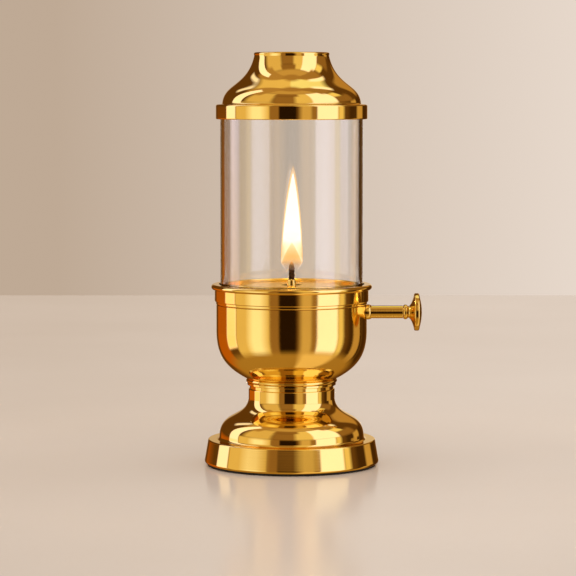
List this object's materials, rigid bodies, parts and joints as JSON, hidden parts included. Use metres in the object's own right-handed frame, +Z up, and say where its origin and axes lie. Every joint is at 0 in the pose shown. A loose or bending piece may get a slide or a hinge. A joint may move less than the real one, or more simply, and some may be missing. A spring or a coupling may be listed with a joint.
{
  "type": "oil lamp",
  "caption": "Turned brass oil lamp with an oil bowl, a side knob that raises the wick, a straight glass chimney and a spun cap with an open mouth.",
  "frame": {"origin": "centre of the underside of the base pad", "axes": "+Z up along the lamp's axis, +X towards the wick knob"},
  "size_m": [0.1066, 0.0858, 0.2023],
  "materials": {
    "polished_brass": "mirror polished",
    "brushed_brass": "fine turned lines",
    "steel": "plain",
    "chimney_glass": "clear",
    "cotton": "charred",
    "felt": "matt"
  },
  "bodies": {
    "lamp_body": {"base_pad": "felt", "pedestal_foot": "polished_brass", "neck_collar": "polished_brass", "tie_bolt": "steel", "tie_washer": "steel", "tie_nut": "steel", "oil_bowl": "brushed_brass", "gallery_ring": "brushed_brass", "burner_bridge": "brushed_brass", "wick_tube": "brushed_brass", "wick_nozzle": "polished_brass", "spindle_bracket": "brushed_brass", "spindle_sleeve": "polished_brass", "spindle_boss": "polished_brass", "sleeve_nut": "brushed_brass"},
    "knob": {"wick_knob": "polished_brass", "spindle": "steel", "wick_wheel": "brushed_brass"},
    "wick": {"wick": "cotton"},
    "dish": {"burner_dish": "polished_brass"},
    "glass": {"glass_chimney": "chimney_glass"},
    "cap": {"chimney_cap": "polished_brass"}
  },
  "joints": [
    {"name": "knob_turn", "type": "hinge", "parent": "lamp_body", "child": "knob", "pos_m": [0.0576, -0.0054, 0.0758], "axis": [1, 0, 0], "range_deg": [-60, 120]},
    {"name": "wick_rise", "type": "slide", "parent": "lamp_body", "child": "wick", "axis": [0, 0, 1], "range_m": [-0.004, 0.008]},
    {"name": "dish_lift", "type": "slide", "parent": "lamp_body", "child": "dish", "axis": [0, 0, 1], "range_m": [0, 0.06]},
    {"name": "chimney_lift", "type": "slide", "parent": "lamp_body", "child": "glass", "axis": [0, 0, 1], "range_m": [0, 0.12]},
    {"name": "cap_lift", "type": "slide", "parent": "glass", "child": "cap", "axis": [0, 0, 1], "range_m": [0, 0.06]}
  ],
  "couplings": [
    {"joint": "wick_rise", "follows": "knob_turn", "m_per_rad": 0.0038}
  ]
}
